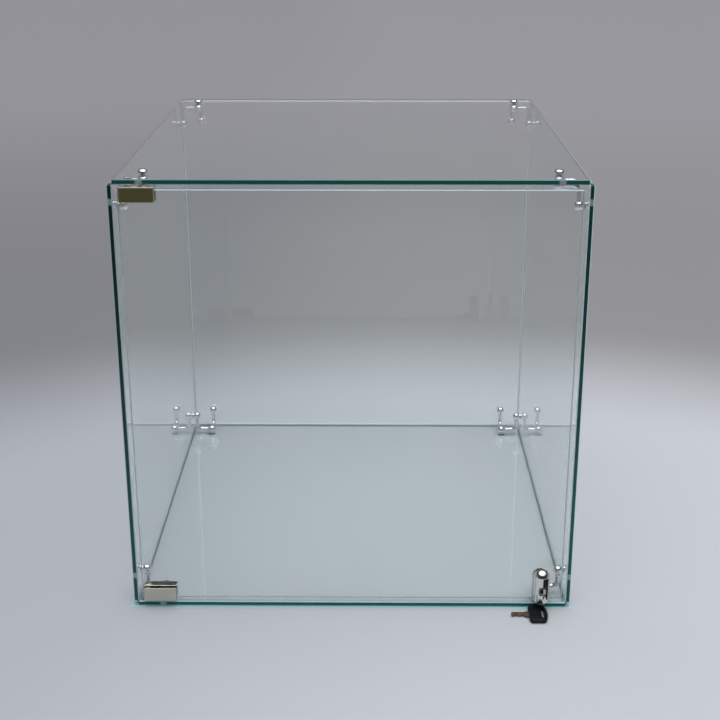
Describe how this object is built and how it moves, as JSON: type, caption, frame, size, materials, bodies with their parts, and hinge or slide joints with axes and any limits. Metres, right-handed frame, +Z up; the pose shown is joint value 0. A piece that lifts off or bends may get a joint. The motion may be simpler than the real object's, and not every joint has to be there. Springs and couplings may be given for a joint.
{
  "type": "glass display case",
  "caption": "Counter-top frameless clear glass cube display case with rod-and-ball corner connectors, a pivot-hinged lockable front door and a loose key.",
  "frame": {"origin": "centre of the underside of the bottom panel, on the surface that the case stands on", "axes": "+Z up, -Y towards the door and the viewer, +X to the lock side"},
  "size_m": [0.45, 0.4813, 0.4548],
  "materials": {
    "glass": "clear float glass, polished faces, pale green body, dark green ground edges",
    "chrome": "bright plated rods, balls and screw heads",
    "polished_chrome": "mirror-polished plated casting",
    "satin_steel": "satin plated",
    "steel": "plain zinc-plated",
    "nylon": "natural moulded",
    "fibre": "matt pressed gasket",
    "brass": "worn, lightly tarnished",
    "black_plastic": "semi-gloss moulded"
  },
  "bodies": {
    "case": {"bottom_panel": "glass", "top_panel": "glass", "left_panel": "glass", "right_panel": "glass", "back_panel": "glass", "connector_front_left_bottom": "chrome", "connector_back_left_bottom": "chrome", "connector_front_right_bottom": "chrome", "connector_back_right_bottom": "chrome", "connector_front_left_top": "chrome", "connector_back_left_top": "chrome", "connector_front_right_top": "chrome", "connector_back_right_top": "chrome", "cap_screw_top_panel_front_left_top": "chrome", "cap_screw_top_panel_back_left_top": "chrome", "cap_screw_top_panel_front_right_top": "chrome", "cap_screw_top_panel_back_right_top": "chrome", "screw_bottom_panel_front_left_bottom": "chrome", "screw_left_panel_front_left_bottom": "chrome", "screw_bottom_panel_back_left_bottom": "chrome", "screw_left_panel_back_left_bottom": "chrome", "screw_back_panel_back_left_bottom": "chrome", "screw_bottom_panel_front_right_bottom": "chrome", "screw_right_panel_front_right_bottom": "chrome", "screw_bottom_panel_back_right_bottom": "chrome", "screw_right_panel_back_right_bottom": "chrome", "screw_back_panel_back_right_bottom": "chrome", "screw_left_panel_front_left_top": "chrome", "screw_left_panel_back_left_top": "chrome", "screw_back_panel_back_left_top": "chrome", "screw_right_panel_front_right_top": "chrome", "screw_right_panel_back_right_top": "chrome", "screw_back_panel_back_right_top": "chrome", "pivot_bush_bottom": "nylon", "pivot_bush_top": "nylon", "strike_bush": "nylon"},
    "door": {"door_glass": "glass", "hinge_body_bottom": "satin_steel", "clamp_plate_bottom": "steel", "clamp_screw_bottom_1": "steel", "clamp_screw_bottom_2": "steel", "pivot_pin_bottom": "steel", "hinge_body_top": "satin_steel", "clamp_plate_top": "steel", "clamp_screw_top_1": "steel", "clamp_screw_top_2": "steel", "pivot_pin_top": "steel", "lock_housing": "polished_chrome", "lock_gasket": "fibre", "lock_bolt_case": "satin_steel", "lock_screw_1": "steel", "lock_screw_2": "steel"},
    "lock_barrel": {"lock_plug": "satin_steel", "lock_cam": "steel"},
    "bolt": {"lock_bolt": "steel"},
    "key": {"key_bow": "black_plastic", "key_blade": "brass"}
  },
  "joints": [
    {"name": "door_swing", "type": "hinge", "parent": "case", "child": "door", "pos_m": [-0.206, -0.2165, 0.225], "axis": [0, 0, -1], "range_deg": [0, 95]},
    {"name": "lock_turn", "type": "hinge", "parent": "door", "child": "lock_barrel", "pos_m": [0.1945, -0.2185, 0.024], "axis": [0, 1, 0], "range_deg": [0, 90]},
    {"name": "bolt_slide", "type": "slide", "parent": "door", "child": "bolt", "axis": [0, 0, -1], "range_m": [0, 0.005]},
    {"name": "key_draw", "type": "slide", "parent": "case", "child": "key", "axis": [0, -1, 0], "range_m": [0, 0.06]}
  ],
  "couplings": [
    {"joint": "bolt_slide", "follows": "lock_turn", "m_per_rad": 0.0030558}
  ]
}
